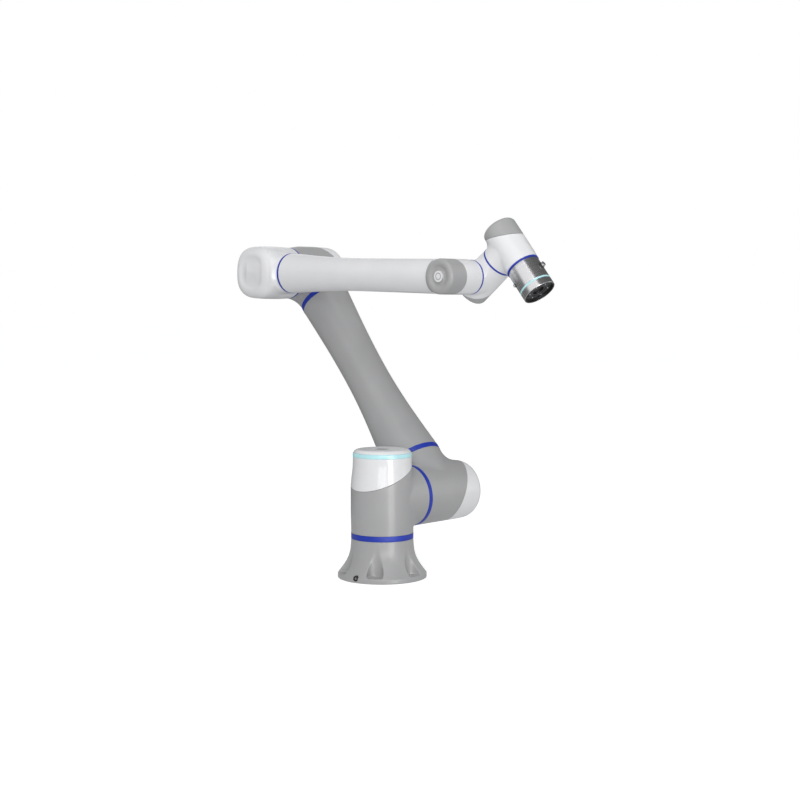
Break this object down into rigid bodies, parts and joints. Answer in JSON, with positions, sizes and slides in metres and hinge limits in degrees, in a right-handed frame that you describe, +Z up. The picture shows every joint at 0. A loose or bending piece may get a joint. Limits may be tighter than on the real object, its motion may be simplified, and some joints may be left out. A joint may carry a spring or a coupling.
{
  "type": "collaborative robot arm",
  "caption": "Six-axis collaborative robot arm on a flared bolt-down base, with hinged upper arm, forearm and wrist and a flat tool flange at its tip.",
  "frame": {"origin": "centre of the base flange's flat underside, on the base joint's axis", "axes": "+Z up along the base joint's axis; +X along the shoulder and elbow hinges, from the shoulder column to the upper arm; the upper arm leans towards +Y"},
  "size_m": [0.4631, 1.0547, 0.9886],
  "materials": {
    "grey_casting": "satin grey paint on an aluminium casting",
    "white_cover": "satin white paint on an aluminium casting",
    "blue_seal": "matte royal blue sealing ring and band",
    "light_ring": "translucent pale cyan light guide",
    "steel": "machined steel",
    "tool_aluminium": "turned and brushed bare aluminium",
    "black_plastic": "matte black moulded plastic",
    "white_plastic": "satin white moulded plastic",
    "motor_copper": "copper windings in a sealed motor",
    "circuit_board": "green circuit board"
  },
  "bodies": {
    "base": {"base_casting": "grey_casting", "base_port_ring": "black_plastic", "base_port_core": "white_plastic", "seal_ring_j1": "blue_seal", "j1_gear": "steel", "j1_motor": "motor_copper", "j1_board": "circuit_board", "j1_cable_tube": "black_plastic"},
    "shoulder": {"shoulder_housing": "grey_casting", "shoulder_cap": "white_cover", "shoulder_cap_plug": "steel", "status_light_ring": "light_ring", "seal_ring_j2": "blue_seal", "j2_gear": "steel", "j2_motor": "motor_copper", "j2_board": "circuit_board", "j2_cable_tube": "black_plastic"},
    "upper_arm": {"shoulder_knuckle": "grey_casting", "shoulder_knuckle_cap": "white_cover", "upper_arm_lower_band": "blue_seal", "upper_arm_tube": "grey_casting", "upper_arm_upper_band": "blue_seal", "elbow_knuckle": "grey_casting", "elbow_knuckle_cap": "white_cover", "seal_ring_j3": "blue_seal", "j3_gear": "steel", "j3_motor": "motor_copper", "j3_board": "circuit_board", "j3_cable_tube": "black_plastic"},
    "forearm": {"forearm_knuckle": "white_cover", "forearm_knuckle_cap": "white_cover", "forearm_band": "blue_seal", "forearm_tube": "white_cover", "forearm_wrist_housing": "white_cover", "forearm_wrist_cap": "grey_casting", "forearm_wrist_cap_disc": "white_plastic", "seal_ring_j4": "blue_seal", "j4_gear": "steel", "j4_motor": "motor_copper", "j4_board": "circuit_board", "j4_cable_tube": "black_plastic"},
    "wrist_1": {"wrist_1_housing": "white_cover", "wrist_1_cap": "grey_casting", "seal_ring_j5": "blue_seal", "j5_gear": "steel", "j5_motor": "motor_copper", "j5_board": "circuit_board", "j5_cable_tube": "black_plastic"},
    "wrist_2": {"wrist_2_housing": "white_cover", "wrist_2_cap": "grey_casting", "seal_ring_j6": "blue_seal", "j6_gear": "steel", "j6_motor": "motor_copper", "j6_board": "circuit_board", "j6_cable_tube": "black_plastic"},
    "tool": {"tool_flange_barrel": "tool_aluminium", "tool_flange_face": "tool_aluminium", "tool_light_ring": "light_ring", "tool_connector": "black_plastic", "tool_port_cap": "black_plastic"}
  },
  "joints": [
    {"name": "base_turn", "type": "hinge", "parent": "base", "child": "shoulder", "pos_m": [0, 0, 0], "axis": [0, 0, 1], "range_deg": [-360, 360]},
    {"name": "shoulder_lift", "type": "hinge", "parent": "shoulder", "child": "upper_arm", "pos_m": [0, 0, 0.2175], "axis": [1, 0, 0], "range_deg": [-120, 195]},
    {"name": "elbow_bend", "type": "hinge", "parent": "upper_arm", "child": "forearm", "pos_m": [0, 0.50815, 0.85405], "axis": [1, 0, 0], "range_deg": [-288, 26]},
    {"name": "wrist_1_turn", "type": "hinge", "parent": "forearm", "child": "wrist_1", "pos_m": [0, -0.23698, 0.83063], "axis": [1, 0, 0], "range_deg": [-360, 360]},
    {"name": "wrist_2_turn", "type": "hinge", "parent": "wrist_1", "child": "wrist_2", "pos_m": [0.1525, -0.23698, 0.83063], "axis": [0, -0.7837, 0.6211], "range_deg": [-360, 360]},
    {"name": "wrist_3_turn", "type": "hinge", "parent": "wrist_2", "child": "tool", "pos_m": [0.1525, -0.33416, 0.90765], "axis": [0.0279, -0.6209, -0.7834], "range_deg": [-360, 360]}
  ]
}
